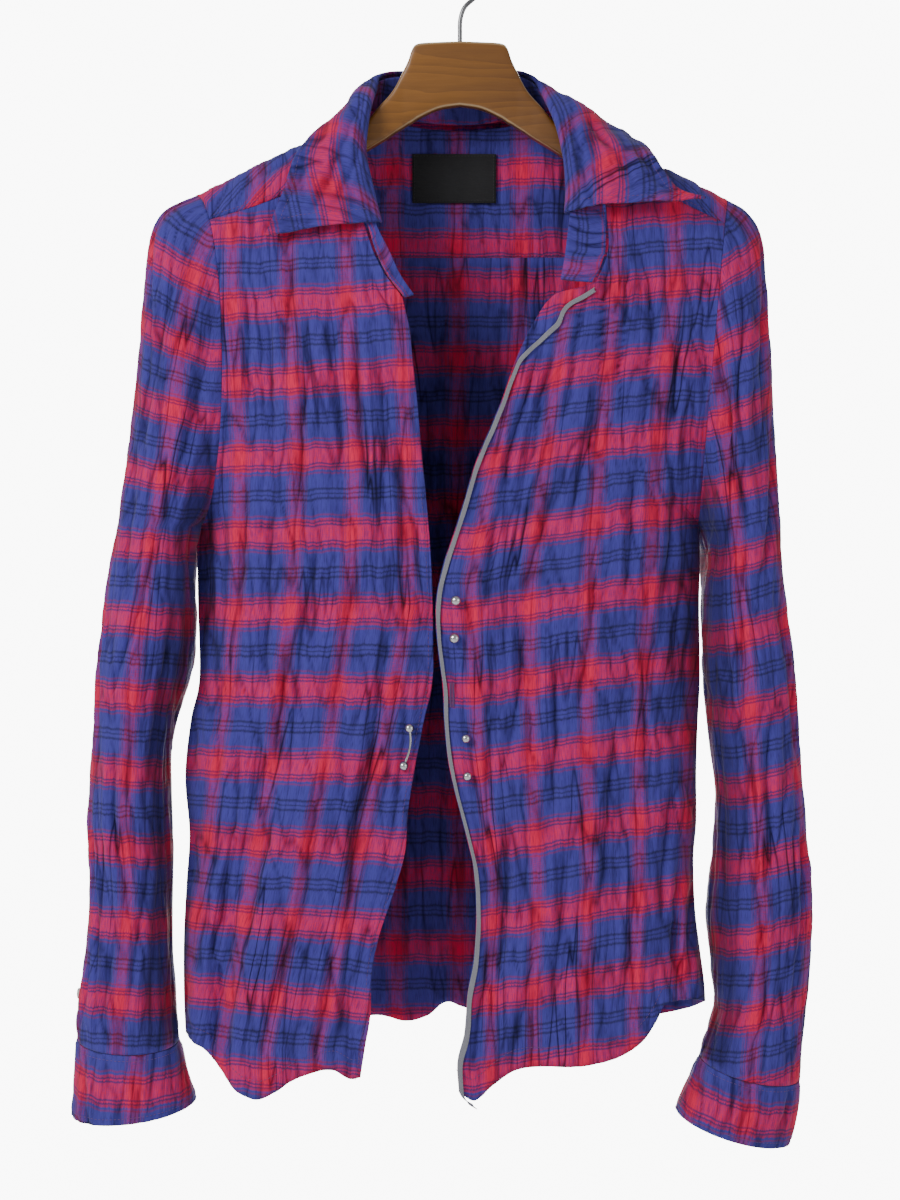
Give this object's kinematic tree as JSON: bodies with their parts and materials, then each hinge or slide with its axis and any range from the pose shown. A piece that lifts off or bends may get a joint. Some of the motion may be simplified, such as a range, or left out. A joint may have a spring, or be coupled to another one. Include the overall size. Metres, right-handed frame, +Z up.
{
  "type": "crumpled shirt on a hanger",
  "caption": "Crumpled long-sleeved check shirt, worn open with bar piercings for buttons and a taped front edge, hung on a thick wooden hanger with a steel hook.",
  "frame": {"origin": "the point inside the top of the hook's bend, where the hanger bears on its rail", "axes": "+Z up along the hook's stem; +X to the wearer's left; the open fronts face -Y"},
  "size_m": [0.5214, 0.1149, 0.8519],
  "materials": {
    "cloth": "brushed check cotton, red over blue, crumpled",
    "tape": "narrow grey woven tape",
    "label": "plain black woven label",
    "barbell": "polished",
    "button": "pearly",
    "wood": "stained and satin varnished",
    "hook": "dark plated steel"
  },
  "bodies": {
    "root": {"yoke": "cloth", "front_right": "cloth", "front_left": "cloth", "back": "cloth", "sleeve_right": "cloth", "sleeve_left": "cloth", "cuff_right": "cloth", "cuff_left": "cloth", "collar_stand": "cloth", "collar_leaf": "cloth", "edge_tape": "tape", "label": "label", "barbell_upper_ball_top": "barbell", "barbell_upper_ball_foot": "barbell", "barbell_upper_bar": "barbell", "barbell_lower_ball_top": "barbell", "barbell_lower_ball_foot": "barbell", "barbell_lower_bar": "barbell", "barbell_right_ball_top": "barbell", "barbell_right_ball_foot": "barbell", "barbell_right_bar": "barbell", "sleeve_button_right": "button", "sleeve_button_left": "button", "cuff_button_right": "button", "cuff_button_left": "button", "hanger_body": "wood", "hanger_hook": "hook"}
  },
  "joints": []
}
